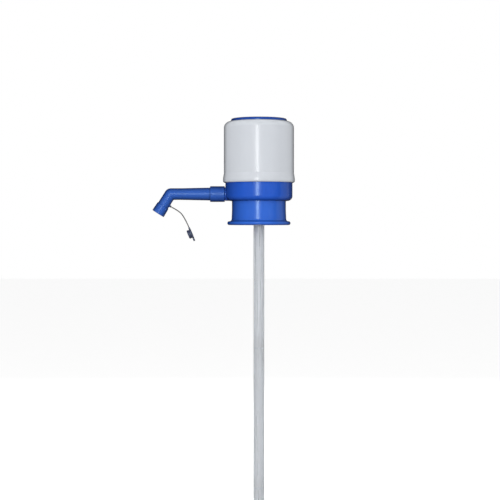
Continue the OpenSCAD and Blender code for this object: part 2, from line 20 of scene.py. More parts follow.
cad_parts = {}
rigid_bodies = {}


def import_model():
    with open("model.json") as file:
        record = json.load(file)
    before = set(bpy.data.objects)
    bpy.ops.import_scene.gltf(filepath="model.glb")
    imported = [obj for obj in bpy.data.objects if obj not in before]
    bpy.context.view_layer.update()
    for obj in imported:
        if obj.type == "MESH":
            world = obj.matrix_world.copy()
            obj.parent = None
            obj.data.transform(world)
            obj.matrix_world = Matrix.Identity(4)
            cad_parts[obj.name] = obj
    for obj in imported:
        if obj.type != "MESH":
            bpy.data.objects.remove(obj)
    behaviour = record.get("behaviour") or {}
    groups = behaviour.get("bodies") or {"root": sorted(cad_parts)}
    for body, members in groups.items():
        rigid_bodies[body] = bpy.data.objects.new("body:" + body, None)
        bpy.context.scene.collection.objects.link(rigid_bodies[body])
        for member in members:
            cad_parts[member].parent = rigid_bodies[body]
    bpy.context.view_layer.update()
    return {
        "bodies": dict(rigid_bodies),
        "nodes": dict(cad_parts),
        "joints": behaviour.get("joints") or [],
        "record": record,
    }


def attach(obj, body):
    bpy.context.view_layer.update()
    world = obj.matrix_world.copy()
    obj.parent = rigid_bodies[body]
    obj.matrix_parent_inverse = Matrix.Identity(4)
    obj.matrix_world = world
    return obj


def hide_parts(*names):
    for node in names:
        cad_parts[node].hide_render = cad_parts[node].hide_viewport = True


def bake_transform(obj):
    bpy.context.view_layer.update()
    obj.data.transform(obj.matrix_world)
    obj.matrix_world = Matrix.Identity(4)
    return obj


LOG = logging.getLogger("hand_pump")
MM = 0.001  # a millimetre in metres
WELD = 1e-4  # millimetres between vertices that are one
CREASE = 38.0  # degrees of slope above which an edge stays sharp
CLOUDY = (0.3, 0.7)  # the ends between which most of a cloudy pattern lies
ORIGIN = (0.0, 0.0, 0.0)
UP = (0.0, 0.0, 1.0)
WHITE = (1.0, 1.0, 1.0)
EVEN = (1.0, 1.0, 1.0)

Colour = tuple[float, float, float]
Point = tuple[float, float, float]
Socket = bpy.types.NodeSocket
Spot = tuple[float, float] | tuple[float, float, float] | tuple[float, float, float, int]
Section = list[Spot]


class Body(Enum):
    """The CAD bodies that pieces ride on."""

    BASE = "base"
    BUTTON = "button"
    SPOUT = "spout"
    CAP = "cap"


class Slot(Enum):
    """The record's material slots."""

    BLUE = "blue_plastic"
    CAP = "cap_plastic"
    WHITE = "white_plastic"
    NATURAL = "natural_plastic"
    TUBE = "tube_plastic"
    SILICONE = "silicone"
    BELLOWS = "bellows_rubber"
    SEAL = "seal_rubber"
    STEEL = "steel"


class Nodes:
    """A node tree in the making."""

    def __init__(self, tree: bpy.types.NodeTree) -> None:
        """Takes up a node tree."""
        self.tree = tree

    def node(self, kind: str, **settings: object) -> bpy.types.Node:
        """Adds a node.

        Args:
            kind: The node's type.
            **settings: Properties to set on it.

        Returns:
            The new node.
        """
        made = self.tree.nodes.new(kind)
        for key, value in settings.items():
            setattr(made, key, value)
        return made

    def link(self, source: Socket, target: Socket) -> None:
        """Joins two sockets."""
        self.tree.links.new(source, target)

    def span(
        self,
        value: Socket,
        low: float,
        high: float,
        ends: tuple[float, float] = CLOUDY,
        curve: str = "LINEAR",
    ) -> Socket:
        """Carries a value from one range over to another.

        Args:
            value: The value.
            low: The result at its first end.
            high: The result at its second end.
            ends: The value's ends.
            curve: How the result goes from one end to the other.

        Returns:
            The result.
        """
        ranged = self.node("ShaderNodeMapRange", interpolation_type=curve)
        for name, amount in zip(("From Min", "From Max", "To Min", "To Max"), (*ends, low, high)):
            ranged.inputs[name].default_value = amount
        self.link(value, ranged.inputs["Value"])
        return ranged.outputs["Result"]

    def seen(self) -> Socket:
        """Tells whether a ray comes from the camera, straight or through a clear piece.

        Returns:
            A value of 1 for such a ray, and 0 for others.
        """
        path = self.node("ShaderNodeLightPath").outputs
        larger = self.node("ShaderNodeMath", operation="MAXIMUM")
        self.link(path["Is Camera Ray"], larger.inputs[0])
        self.link(path["Is Transmission Ray"], larger.inputs[1])
        return larger.outputs[0]


class Graph(Nodes):
    """The nodes of one material, with the patterns that the finishes share."""

    def __init__(self, name: str) -> None:
        """Starts a material whose patterns read Object coordinates.

        Args:
            name: The material's name.
        """
        self.material = bpy.data.materials.new(name)
        self.material.use_nodes = True
        super().__init__(self.material.node_tree)
        self.shader = self.tree.nodes["Principled BSDF"]
        self.place = self.node("ShaderNodeTexCoord").outputs["Object"]

    def set(self, **values: object) -> None:
        """Sets constants on the shader, with _ for each space in a socket's name."""
        for key, value in values.items():
            self.shader.inputs[key.replace("_", " ")].default_value = value

    def scatter(self, weight: float, reach: float) -> None:
        """Lets a share of the light spread in the piece, as far as a reach in metres."""
        self.set(Subsurface_Weight=weight, Subsurface_Scale=reach, Subsurface_Radius=EVEN)

    def noise(self, size: float, detail: float = 2.0, stretch: Point = EVEN) -> Socket:
        """A cloudy pattern.

        Args:
            size: Size of its features in millimetres.
            detail: Octaves of finer detail.
            stretch: Scale along each axis.

        Returns:
            Its value, mostly between 0.3 and 0.7.
        """
        mapping = self.node("ShaderNodeMapping")
        mapping.inputs["Scale"].default_value = stretch
        self.link(self.place, mapping.inputs["Vector"])
        texture = self.node("ShaderNodeTexNoise")
        texture.inputs["Scale"].default_value = 1.0 / (size * MM)
        texture.inputs["Detail"].default_value = detail
        self.link(mapping.outputs["Vector"], texture.inputs["Vector"])
        return texture.outputs["Fac"]

    def tint(self, amount: Socket, first: Colour | Socket, second: Colour) -> Socket:
        """Mixes two colours.

        Args:
            amount: Share of the second colour.
            first: A colour, or the output of another node.
            second: The other colour.

        Returns:
            The mixed colour.
        """
        mix = self.node("ShaderNodeMix", data_type="RGBA")
        self.link(amount, mix.inputs[0])
        if isinstance(first, tuple):
            mix.inputs[6].default_value = (*first, 1.0)
        else:
            self.link(first, mix.inputs[6])
        mix.inputs[7].default_value = (*second, 1.0)
        return mix.outputs[2]

    def mottled(self, pattern: Socket, colour: Colour, low: float, high: float) -> Socket:
        """A colour that a pattern carries between two shares of its brightness."""
        return self.tint(self.span(pattern, 0.0, 1.0), shade(colour, low), shade(colour, high))

    def paint(self, colour: Socket) -> None:
        """Gives the shader its colour."""
        self.link(colour, self.shader.inputs["Base Color"])

    def polish(self, pattern: Socket, roughness: float, low: float, high: float) -> None:
        """Lets a pattern carry the roughness between two shares of itself."""
        ends = (roughness * low, min(1.0, roughness * high))
        self.link(self.span(pattern, *ends), self.shader.inputs["Roughness"])

    def relief(self, *layers: tuple[Socket, float]) -> None:
        """Raises the surface by patterns.

        Args:
            *layers: Each pattern and its height in millimetres.
        """
        normal = None
        for height, depth in layers:
            bump = self.node("ShaderNodeBump")
            bump.inputs["Distance"].default_value = depth * MM
            self.link(height, bump.inputs["Height"])
            if normal is not None:
                self.link(normal, bump.inputs["Normal"])
            normal = bump.outputs["Normal"]
        if normal is not None:
            self.link(normal, self.shader.inputs["Normal"])


def shade(colour: Colour, amount: float) -> Colour:
    """The colour made lighter or darker by a factor, and kept under 1."""
    return tuple(min(0.98, c * amount) for c in colour)


@dataclass(frozen=True)
class Finish:
    """A finish by name, with its colour, polish and the record's slot."""

    name: str
    colour: Colour
    roughness: float
    slot: Slot

    def material(self) -> bpy.types.Material:
        """Makes the finish's material once, and then shares it.

        Returns:
            The material.
        """
        if self.name not in bpy.data.materials:
            self.mix(Graph(self.name))
        return bpy.data.materials[self.name]

    def mix(self, graph: Graph) -> None:
        """Builds the nodes in an empty graph."""
        raise NotImplementedError


@dataclass(frozen=True)
class MouldedPlastic(Finish):
    """Injection moulded plastic: flow clouds, a faint orange peel, haze and worn edges.

    Worn edges go a part of the way to a rubbed tone. Painted shade darkens the colour towards the
    outline, between two slants and down to a share of itself, for the darker silhouettes.
    """

    drift: float = 0.05
    peel: float = 0.0016
    worn: float = 0.18
    edge_ends: tuple[float, float] = (0.53, 0.62)
    rubbed: float = 0.85
    rubbing: float = 0.35
    depth: float = 0.0
    ior: float = 1.54
    gloss: Colour = (0.75, 0.97, 1.0)
    # Painted shade at the outline: the slants between which it grows, and the share that it
    # darkens to.
    outline_shade_slants: tuple[float, float] = (0.1, 0.95)
    outline_shade_share: float = 0.3

    def mix(self, graph: Graph) -> None:
        """Builds the nodes of the moulded plastic.

        Args:
            graph: An empty graph with the finish's name.
        """
        graph.set(IOR=self.ior, Specular_Tint=(*self.gloss, 1.0))
        graph.scatter(self.depth, 0.002)
        clouds = graph.noise(26.0, 3.0, (1.0, 1.0, 0.6))
        base = graph.mottled(clouds, self.colour, 1.0 - self.drift, 1.0 + self.drift)
        edges = graph.node("ShaderNodeNewGeometry").outputs["Pointiness"]
        pale = tuple(c + (self.rubbed - c) * self.rubbing for c in self.colour)
        base = graph.tint(graph.span(edges, 0.0, self.worn, self.edge_ends), base, pale)
        # Painted shade: the colour darkens towards the outline, where the silhouettes fall darker.
        slant = graph.node("ShaderNodeLayerWeight").outputs["Facing"]
        outline = graph.span(slant, 0.0, 1.0, self.outline_shade_slants)
        graph.paint(graph.tint(outline, base, shade(self.colour, self.outline_shade_share)))
        graph.polish(graph.noise(7.0, 5.0), self.roughness, 0.82, 1.25)
        graph.relief(
            (graph.noise(14.0, 1.0), 0.02),
            (graph.noise(0.55, 2.0), self.peel),
            (graph.noise(1.6, 3.0, (1.0, 1.0, 0.06)), self.peel * 0.4),
        )


@dataclass(frozen=True)
class TubePlastic(Finish):
    """Milky tube stock that lets light through, with die lines along it."""

    clear: float = 0.45

    def mix(self, graph: Graph) -> None:
        """Builds the nodes of the tube plastic.

        Args:
            graph: An empty graph with the finish's name.
        """
        graph.set(IOR=1.5, Transmission_Weight=self.clear)
        graph.scatter(0.3, 0.003)
        milk = graph.noise(18.0, 2.0, (1.0, 1.0, 0.25))
        graph.paint(graph.mottled(milk, self.colour, 0.97, 1.02))
        die = graph.noise(0.9, 2.0, (1.0, 1.0, 0.01))
        graph.polish(die, self.roughness, 0.85, 1.2)
        graph.relief((die, 0.006), (graph.noise(9.0), 0.02))


@dataclass(frozen=True)
class SoftRubber(Finish):
    """Moulded silicone or rubber: matte, slightly dusty, with a fine grain."""

    grain: float = 0.01
    dust: float = 0.12
    glow: float = 0.0

    def mix(self, graph: Graph) -> None:
        """Builds the nodes of the rubber.

        Args:
            graph: An empty graph with the finish's name.
        """
        graph.set(IOR=1.43, Sheen_Weight=self.dust, Sheen_Roughness=0.5)
        graph.scatter(self.glow, 0.0015)
        graph.paint(graph.mottled(graph.noise(6.0, 4.0), self.colour, 0.92, 1.1))
        graph.polish(graph.noise(2.2, 3.0), self.roughness, 0.9, 1.1)
        graph.relief((graph.noise(0.35, 2.0), self.grain))


@dataclass(frozen=True)
class Steel(Finish):
    """Drawn stainless steel with fine drawing marks."""

    def mix(self, graph: Graph) -> None:
        """Builds the nodes of the steel.

        Args:
            graph: An empty graph with the finish's name.
        """
        graph.set(Metallic=1.0)
        graph.paint(graph.mottled(graph.noise(3.0, 3.0), self.colour, 0.9, 1.05))
        marks = graph.noise(0.2, 2.0, (1.0, 1.0, 0.1))
        graph.polish(marks, self.roughness, 0.8, 1.3)
        graph.relief((marks, 0.003))


COVER_WHITE = MouldedPlastic(
    "cover_white",
    (0.668, 0.698, 0.746),
    0.16,
    Slot.WHITE,
    drift=0.012,
    depth=0.08,
    ior=1.49,
    gloss=WHITE,
    outline_shade_slants=(0.6, 0.9),
    outline_shade_share=0.45,
)
BASE_BLUE = MouldedPlastic("base_blue", (0.018, 0.101, 0.59), 0.16, Slot.BLUE)
COLLAR_BLUE = MouldedPlastic("collar_blue", (0.031, 0.141, 0.67), 0.16, Slot.BLUE)
SPOUT_BLUE = MouldedPlastic(
    "spout_blue",
    (0.024, 0.104, 0.49),
    0.32,
    Slot.BLUE,
    peel=0.0004,
    ior=1.5,
    gloss=(0.7, 0.95, 1.0),
    outline_shade_slants=(0.05, 0.55),
)
# Painted shade: the button gets a darker copy of the blue plastic, for shade that falls on it.
BUTTON_BLUE_SHADED = MouldedPlastic("button_blue_shaded", (0.016, 0.070, 0.38), 0.22, Slot.BLUE)
CAP_SLATE = MouldedPlastic(
    "cap_slate", (0.065, 0.075, 0.14), 0.3, Slot.CAP, peel=0.003, worn=0.06, outline_shade_slants=(0.3, 0.65)
)
NATURAL = MouldedPlastic(
    "natural_white",
    (0.70, 0.71, 0.70),
    0.38,
    Slot.NATURAL,
    drift=0.03,
    depth=0.15,
    gloss=WHITE,
    outline_shade_slants=(0.5, 0.95),
    outline_shade_share=0.6,
)
TUBE_MILK = TubePlastic("tube_milk", (0.86, 0.89, 0.93), 0.3, Slot.TUBE)
JOINER_MILK = TubePlastic("joiner_milk", (0.80, 0.84, 0.89), 0.34, Slot.TUBE, clear=0.25)
TETHER_GREY = SoftRubber("tether_grey", (0.15, 0.15, 0.145), 0.5, Slot.SILICONE, glow=0.1)
SEAL_CLEAR = SoftRubber("seal_silicone", (0.62, 0.65, 0.67), 0.48, Slot.SILICONE, glow=0.35)
BELLOWS_PALE = SoftRubber("bellows_pale", (0.60, 0.62, 0.64), 0.45, Slot.BELLOWS, glow=0.2)
SEAL_BLACK = SoftRubber("seal_black", (0.028, 0.028, 0.03), 0.5, Slot.SEAL)
STAINLESS = Steel("stainless", (0.62, 0.62, 0.61), 0.24, Slot.STEEL)


class Corner(NamedTuple):
    """A corner of a turned section, in millimetres from the axis and along it.

    The corner is rounded to a soft radius, with that many steps.
    """

    r: float
    z: float
    soft: float = 0.0
    steps: int = 4

    def turn(self, before: "Corner", after: "Corner") -> float:
        """The angle by which the section turns here, between the corners before and after."""
        first = Vector((self.r - before.r, self.z - before.z))
        return first.angle(Vector((after.r - self.r, after.z - self.z)))


def move(x: float = 0.0, y: float = 0.0, z: float = 0.0) -> Matrix:
    """A move along the axes."""
    return Matrix.Translation((x, y, z))


def turn(degrees: float, axis: str) -> Matrix:
    """A turn about an axis."""
    return Matrix.Rotation(math.radians(degrees), 4, axis)


def ease(
    bm: BMesh,
    parts: Sequence[BMVert] | Sequence[BMEdge],
    width: float,
    steps: int = 4,
    clamp: bool = True,
) -> None:
    """Rounds vertices of a flat section, or edges of a shell.

    Args:
        bm: The mesh.
        parts: Its vertices or edges.
        width: Width of the bevel.
        steps: Number of its steps.
        clamp: Whether it stops where it would meet another.
    """
    bmesh.ops.bevel(
        bm,
        geom=parts,
        offset=width,
        offset_type="OFFSET",
        segments=steps,
        profile=0.5,
        material=-1,
        affect="EDGES" if isinstance(parts[0], BMEdge) else "VERTICES",
        clamp_overlap=clamp,
    )


def turned(section: Section, around: int = 144) -> BMesh:
    """Turns a closed section about the Z axis into a closed shell.

    Args:
        section: The section's corners in order. Corners at radius 0 lie on the axis.
        around: Number of steps in the full turn.

    Returns:
        The shell, in millimetres.
    """
    bm = bmesh.new()
    corners = [Corner(*spot) for spot in section]
    verts = [bm.verts.new((c.r, 0.0, c.z)) for c in corners]
    bm.faces.new(verts)
    for i, corner in enumerate(corners):
        if corner.soft:
            angle = corner.turn(corners[i - 1], corners[(i + 1) % len(corners)])
            ease(bm, [verts[i]], corner.soft * math.tan(angle / 2), corner.steps, clamp=False)
    bmesh.ops.delete(bm, geom=bm.faces[:], context="FACES_ONLY")
    on_axis = [e for e in bm.edges if all(abs(v.co.x) < WELD for v in e.verts)]
    bmesh.ops.delete(bm, geom=on_axis, context="EDGES")
    bmesh.ops.spin(
        bm,
        geom=bm.verts[:] + bm.edges[:],
        axis=UP,
        cent=ORIGIN,
        angle=math.tau,
        steps=around,
        use_merge=True,
    )
    bmesh.ops.remove_doubles(bm, verts=bm.verts, dist=WELD)
    bmesh.ops.recalc_face_normals(bm, faces=bm.faces)
    return bm


def pipe(
    inner: float, outer: float, low: float, high: float, edge: float = 0.2, around: int = 96
) -> BMesh:
    """A tube between two radii and two heights, with eased edges outside."""
    return turned([(inner, low), (outer, low, edge), (outer, high, edge), (inner, high)], around)


def rod(radius: float, low: float, high: float, edge: float = 0.2, around: int = 48) -> BMesh:
    """A round bar along Z with eased edges."""
    return pipe(0.0, radius, low, high, edge, around)


def slab(width: float, length: float, thick: float, round_end: float, edge: float) -> BMesh:
    """A flat tongue along +Z from the origin, thick along X, with a round far end.

    Args:
        width: Its width along Y.
        length: Its length along Z.
        thick: Its thickness along X.
        round_end: Radius of the two corners at its far end.
        edge: Radius of its edges.

    Returns:
        The closed tongue, in millimetres.
    """
    bm = bmesh.new()
    bmesh.ops.create_grid(bm, x_segments=1, y_segments=1, size=0.5)
    placed(bm, turn(-90.0, "Y"), Matrix.Diagonal((length, width, 1.0, 1.0)), move(0.5))
    if round_end:
        # A hair less than the radius, so that the two rounds don't meet in one vertex.
        ease(bm, [v for v in bm.verts if v.co.z > length / 2], round_end * 0.999, 14)
    placed(bm, move(-thick / 2))
    grown = bmesh.ops.extrude_face_region(bm, geom=bm.faces[:])
    raised = [v for v in grown["geom"] if isinstance(v, BMVert)]
    bmesh.ops.translate(bm, vec=(thick, 0.0, 0.0), verts=raised)
    bmesh.ops.recalc_face_normals(bm, faces=bm.faces)
    ease(bm, [e for e in bm.edges if abs(e.verts[0].co.x - e.verts[1].co.x) < WELD], edge)
    return bm


def placed(bm: BMesh, *moves: Matrix) -> BMesh:
    """Moves a shell.

    Args:
        bm: The shell.
        *moves: The moves, of which the last one goes first.

    Returns:
        The same shell.
    """
    whole = Matrix.Identity(4)
    for step in moves:
        whole = whole @ step
    bmesh.ops.transform(bm, matrix=whole, verts=bm.verts)
    return bm


def joined(*shells: BMesh) -> BMesh:
    """Puts closed shells into one mesh and frees them.

    Args:
        *shells: The shells.

    Returns:
        The mesh that holds them all.
    """
    whole = bmesh.new()
    carrier = bpy.data.meshes.new("carrier")
    for shell in shells:
        shell.to_mesh(carrier)
        whole.from_mesh(carrier)
        shell.free()
    bpy.data.meshes.remove(carrier)
    return whole


def added(name: str, bm: BMesh, material: bpy.types.Material | None = None) -> bpy.types.Object:
    """Puts a shell into the scene as an object and frees it.

    Args:
        name: The object's name.
        bm: The shell.
        material: The material that it gets, if any.

    Returns:
        The object.
    """
    mesh = bpy.data.meshes.new(name)
    bm.to_mesh(mesh)
    bm.free()
    if material is not None:
        mesh.materials.append(material)
    obj = bpy.data.objects.new(name, mesh)
    bpy.context.scene.collection.objects.link(obj)
    return obj


def carved(bm: BMesh, *cutters: BMesh) -> BMesh:
    """Cuts shells out of a closed shell.

    Args:
        bm: The shell to cut.
        *cutters: The closed shells to take away.

    Returns:
        The cut shell.
    """
    block, tool = added("carving", bm), added("carving", joined(*cutters))
    cut = block.modifiers.new("cut", "BOOLEAN")
    cut.operation = "DIFFERENCE"
    cut.solver = "EXACT"
    cut.object = tool
    done = block.evaluated_get(bpy.context.evaluated_depsgraph_get())
    result = bmesh.new()
    result.from_mesh(done.to_mesh())
    done.to_mesh_clear()
    for obj in (block, tool):
        mesh = obj.data
        bpy.data.objects.remove(obj)
        bpy.data.meshes.remove(mesh)
    return result


class Hose:
    """A round shell drawn along a way, one ring of edges at a time."""

    def __init__(self, centre: Vector, way: Vector, radius: float, sides: int = 72) -> None:
        """Starts with one open ring.

        Args:
            centre: Centre of the ring.
            way: Direction in which the shell goes on.
            radius: Radius of the ring.
            sides: Number of its sides.
        """
        self.bm = bmesh.new()
        self.centre = centre.copy()
        self.way = way.normalized()
        self.radius = radius
        facing = Vector(UP).rotation_difference(self.way).to_matrix().to_4x4()
        made = bmesh.ops.create_circle(
            self.bm,
            cap_ends=False,
            radius=radius,
            segments=sides,
            matrix=Matrix.Translation(centre) @ facing,
        )
        self.ring = self.edges_of(made["verts"])
        self.first = list(self.ring)
        self.soft: list[tuple[list[BMEdge], float]] = []

    @staticmethod
    def edges_of(verts: Iterable[BMVert]) -> list[BMEdge]:
        """The edges that join these vertices to each other."""
        inside = set(verts)
        return list({e for v in inside for e in v.link_edges if set(e.verts) <= inside})

    def extend(self) -> list[BMVert]:
        """Extrudes the ring in place.

        Returns:
            The new ring's vertices.
        """
        made = bmesh.ops.extrude_edge_only(self.bm, edges=self.ring)
        verts = [v for v in made["geom"] if isinstance(v, BMVert)]
        self.ring = self.edges_of(verts)
        return verts

    def draw(self, ahead: float, radius: float | None = None, soft: float = 0.0) -> None:
        """Draws the shell on by one straight step.

        Args:
            ahead: How far along its way, or back where this is negative.
            radius: Radius of the new ring, if it changes.
            soft: Width of the bevel on the ring that the step starts from.
        """
        if soft:
            self.soft.append((list(self.ring), soft))
        verts = self.extend()
        self.centre += self.way * ahead
        for vert in verts:
            vert.co += self.way * (self.centre - vert.co).dot(self.way)
        if radius is not None:
            grow = radius / self.radius
            around = Matrix.Translation(-self.centre)
            bmesh.ops.scale(self.bm, vec=(grow, grow, grow), space=around, verts=verts)
            self.radius = radius

    def bend(self, pivot: Vector, axis: Vector, angle: float, least: float, steps: int) -> None:
        """Carries the shell round a bend, with a small round where its inside would crease.

        Args:
            pivot: Point that the bend turns about.
            axis: Axis of the turn.
            angle: Angle of the turn.
            least: Smallest radius of the bend, on its inside.
            steps: Number of steps.
        """
        out = (self.centre - pivot).normalized()
        bisector = Matrix.Rotation(angle / 2, 3, axis) @ out / math.cos(angle / 2)
        rings = [(0.0, {v for e in self.ring for v in e.verts})]
        step = Matrix.Rotation(angle / steps, 3, axis)
        for i in range(steps):
            verts = self.extend()
            bmesh.ops.rotate(self.bm, cent=pivot, matrix=step, verts=verts)
            rings.append((angle * (i + 1) / steps, set(verts)))
        for part, verts in rings:
            ray = Matrix.Rotation(part, 3, axis) @ out
            for vert in verts:
                short = least - (vert.co - pivot).dot(ray)
                if short > 0:
                    vert.co += short * (ray - bisector)
        whole = Matrix.Rotation(angle, 3, axis)
        self.centre = pivot + whole @ (self.centre - pivot)
        self.way = whole @ self.way

    def back(self) -> None:
        """Turns the way round, for the inside of a wall."""
        self.way = -self.way

    def closed(self) -> BMesh:
        """Joins the last ring to the first and eases the marked rings.

        Returns:
            The closed shell.
        """
        bmesh.ops.bridge_loops(self.bm, edges=self.ring + self.first)
        for edges, width in self.soft:
            ease(self.bm, [e for e in edges if e.is_valid], width)
        return self.bm


def finished(
    name: str,
    bm: BMesh,
    finish: Finish,
    body: Body | None,
    stands_for: Sequence[str],
    crease: float = CREASE,
) -> bpy.types.Object:
    """Makes an object of a shell, dresses it and hangs it on its body.

    Args:
        name: The piece's name.
        bm: The shell in millimetres, which is freed.
        finish: The finish that it gets.
        body: The body that it rides on, or None for a piece that rides on none.
        stands_for: The CAD nodes that it replaces.
        crease: Angle in degrees above which an edge stays sharp.

    Returns:
        The piece's object.
    """
    bmesh.ops.remove_doubles(bm, verts=bm.verts, dist=WELD)
    bmesh.ops.dissolve_degenerate(bm, dist=WELD, edges=bm.edges)
    bmesh.ops.recalc_face_normals(bm, faces=bm.faces)
    bmesh.ops.scale(bm, vec=(MM, MM, MM), verts=bm.verts)
    obj = added(name, bm, finish.material())
    mesh = obj.data
    mesh.polygons.foreach_set("use_smooth", [True] * len(mesh.polygons))
    mesh.set_sharp_from_angle(angle=math.radians(crease))
    if body is not None:
        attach(obj, body.value)
        flats = obj.modifiers.new("flats", "WEIGHTED_NORMAL")
        flats.mode = "FACE_AREA"
        flats.weight = 80
        flats.keep_sharp = True
    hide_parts(*stands_for)
    LOG.info("%s: %d faces", name, len(mesh.polygons))
    return obj


def aim(obj: bpy.types.Object, place: Point, target: Point) -> None:
    """Puts a lamp or the camera into the scene, turned to a target.

    Args:
        obj: The lamp or camera.
        place: Where it stands, in metres.
        target: What it looks at, in metres.
    """
    obj.location = place
    obj.rotation_euler = (Vector(target) - Vector(place)).to_track_quat("-Z", "Y").to_euler()
    bpy.context.scene.collection.objects.link(obj)


@dataclass(frozen=True)
class Lamp:
    """A soft area lamp, in metres and watts, aimed at a point of the pump."""

    name: str
    place: Point
    size: tuple[float, float]
    power: float
    target: Point = (0.0, 0.0, 0.03)
    mirrored: bool = False

    def hang(self) -> None:
        """Hangs the lamp, unseen by the camera and mostly left out of reflections."""
        data = bpy.data.lights.new(self.name, "AREA")
        data.shape = "RECTANGLE"
        data.size, data.size_y = self.size
        data.energy = self.power
        lamp = bpy.data.objects.new(self.name, data)
        lamp.visible_camera = False
        lamp.visible_glossy = self.mirrored
        aim(lamp, self.place, self.target)


@dataclass(frozen=True)
class Card:
    """A card round the pump that only its gloss shows, in metres.

    It stands at an angle in degrees from the camera's side towards +X.
    """

    name: str
    angle: float
    width: float
    tone: float
    height: float = 1.8
    distance: float = 0.8
    middle: float = 0.1

    def stand(self) -> None:
        """Stands the card in its place, unseen by the camera."""
        graph = Graph(self.name)
        graph.set(Roughness=1.0, Specular_IOR_Level=0.0)
        graph.paint(graph.mottled(graph.noise(60.0), (self.tone,) * 3, 1.0, 1.1))
        bm = bmesh.new()
        bmesh.ops.create_grid(bm, x_segments=1, y_segments=1, size=0.5)
        place = turn(self.angle, "Z") @ move(y=-self.distance, z=self.middle)
        size = Matrix.Diagonal((self.width, self.height, 1.0, 1.0))
        card = added(self.name, placed(bm, place, turn(90.0, "X"), size), graph.material)
        card.visible_camera = False
        card.visible_diffuse = False
        card.visible_transmission = False
        card.visible_shadow = False


@dataclass
class Studio:
    """Camera, soft lamps, cards, a pale floor and a pale world."""

    camera_place: Point = (-0.010, -1.57, -0.009)
    camera_target: Point = (-0.010, 0.0, -0.028)
    lens: float = 100.8
    sensor: float = 36.0
    clip: tuple[float, float] = (0.05, 60.0)
    floor_z: float = -0.4512
    floor_half: float = 12.0
    floor_tone: Colour = (0.80, 0.80, 0.80)
    floor_glow: float = 0.45
    from_below: float = 0.58
    from_above: float = 0.64
    mirrored_behind: float = 0.05
    mirrored_front: float = 0.35
    lamps: tuple[Lamp, ...] = (
        Lamp("strip", (-0.15, -1.56, 0.12), (0.27, 0.7), 3.6, mirrored=True),
        Lamp("haze", (-0.15, -1.6, 0.12), (0.75, 0.7), 1.3, mirrored=True),
        Lamp("front_left", (-1.5, -1.6, 0.9), (1.1, 1.1), 10.8),
        Lamp("front_right", (1.7, -1.3, 0.6), (0.9, 1.2), 6.5),
        Lamp("overhead", (0.0, -0.2, 1.8), (1.6, 1.6), 4.0, (0.0, 0.0, 0.0)),
        Lamp("behind", (0.0, 2.2, 0.9), (1.4, 1.4), 14.0),
    )
    cards: tuple[Card, ...] = (
        Card("dark_left", -141.0, 0.98, 0.015),
        Card("dark_right", 148.5, 0.73, 0.08),
        Card("pale_right", 100.0, 0.65, 0.5),
    )

    def set_camera(self) -> None:
        """Sets the camera and the plain view settings."""
        data = bpy.data.cameras.new("camera")
        data.sensor_width = self.sensor
        data.lens = self.lens
        data.clip_start, data.clip_end = self.clip
        camera = bpy.data.objects.new("camera", data)
        aim(camera, self.camera_place, self.camera_target)
        bpy.context.scene.camera = camera
        bpy.context.scene.view_settings.view_transform = "Standard"

    def light(self) -> None:
        """Hangs the lamps, lays the floor and stands the cards."""
        self.set_world()
        for lamp in self.lamps:
            lamp.hang()
        self.lay_floor()
        for card in self.cards:
            card.stand()

    def set_world(self) -> None:
        """White where it is seen, softer from below than above, and dim in reflections."""
        world = bpy.data.worlds.new("studio")
        bpy.context.scene.world = world
        world.use_nodes = True
        nodes = Nodes(world.node_tree)
        way = nodes.node("ShaderNodeSeparateXYZ")
        nodes.link(nodes.node("ShaderNodeTexCoord").outputs["Generated"], way.inputs[0])
        _, front, height = way.outputs
        light = self.glow(nodes, height, (self.from_below, self.from_above), (-1.0, 0.6))
        mirrored = (self.mirrored_behind, self.mirrored_front)
        room = self.glow(nodes, front, mirrored, (-0.35, -1.0))
        white = self.glow(nodes, height, (1.0, 1.0), (-1.0, 1.0))
        glossy = nodes.node("ShaderNodeLightPath").outputs["Is Glossy Ray"]
        for share, other in ((glossy, room), (nodes.seen(), white)):
            mix = nodes.node("ShaderNodeMixShader")
            nodes.link(share, mix.inputs[0])
            nodes.link(light, mix.inputs[1])
            nodes.link(other, mix.inputs[2])
            light = mix.outputs[0]
        nodes.link(light, nodes.tree.nodes["World Output"].inputs["Surface"])

    @staticmethod
    def glow(
        nodes: Nodes, value: Socket, strengths: tuple[float, float], ends: tuple[float, float]
    ) -> Socket:
        """A white background whose strength follows a value.

        Args:
            nodes: The world's nodes.
            value: The value to follow.
            strengths: The strengths at its two ends.
            ends: The ends.

        Returns:
            The background's light.
        """
        light = nodes.node("ShaderNodeBackground")
        light.inputs["Color"].default_value = (*WHITE, 1.0)
        strength = nodes.span(value, *strengths, ends, "SMOOTHSTEP")
        nodes.link(strength, light.inputs["Strength"])
        return light.outputs[0]

    def lay_floor(self) -> None:
        """Lays a pale floor that shows white and keeps the pump's shadow."""
        graph = Graph("floor_pale")
        graph.paint(graph.mottled(graph.noise(40.0, 4.0), self.floor_tone, 1.0, 1.025))
        graph.set(Roughness=0.9, Specular_IOR_Level=0.1, Emission_Color=(*WHITE, 1.0))
        glow = graph.span(graph.seen(), 0.0, self.floor_glow, (0.0, 1.0))
        graph.link(glow, graph.shader.inputs["Emission Strength"])
        bm = bmesh.new()
        bmesh.ops.create_grid(bm, x_segments=1, y_segments=1, size=self.floor_half)
        floor = added("floor", placed(bm, move(z=self.floor_z)), graph.material)
        floor.visible_glossy = False
        floor.visible_diffuse = False


@dataclass(frozen=True)
class AirPort:
    """The hole through which air goes down into the jug's neck."""

    x: float = 15.75
    radius: float = 2.5
    past: float = 1.0

    def cutter(self, low: float, high: float) -> BMesh:
        """The bar that cuts the hole between two heights, and a little past them."""
        return placed(rod(self.radius, low - self.past, high + self.past), move(self.x))


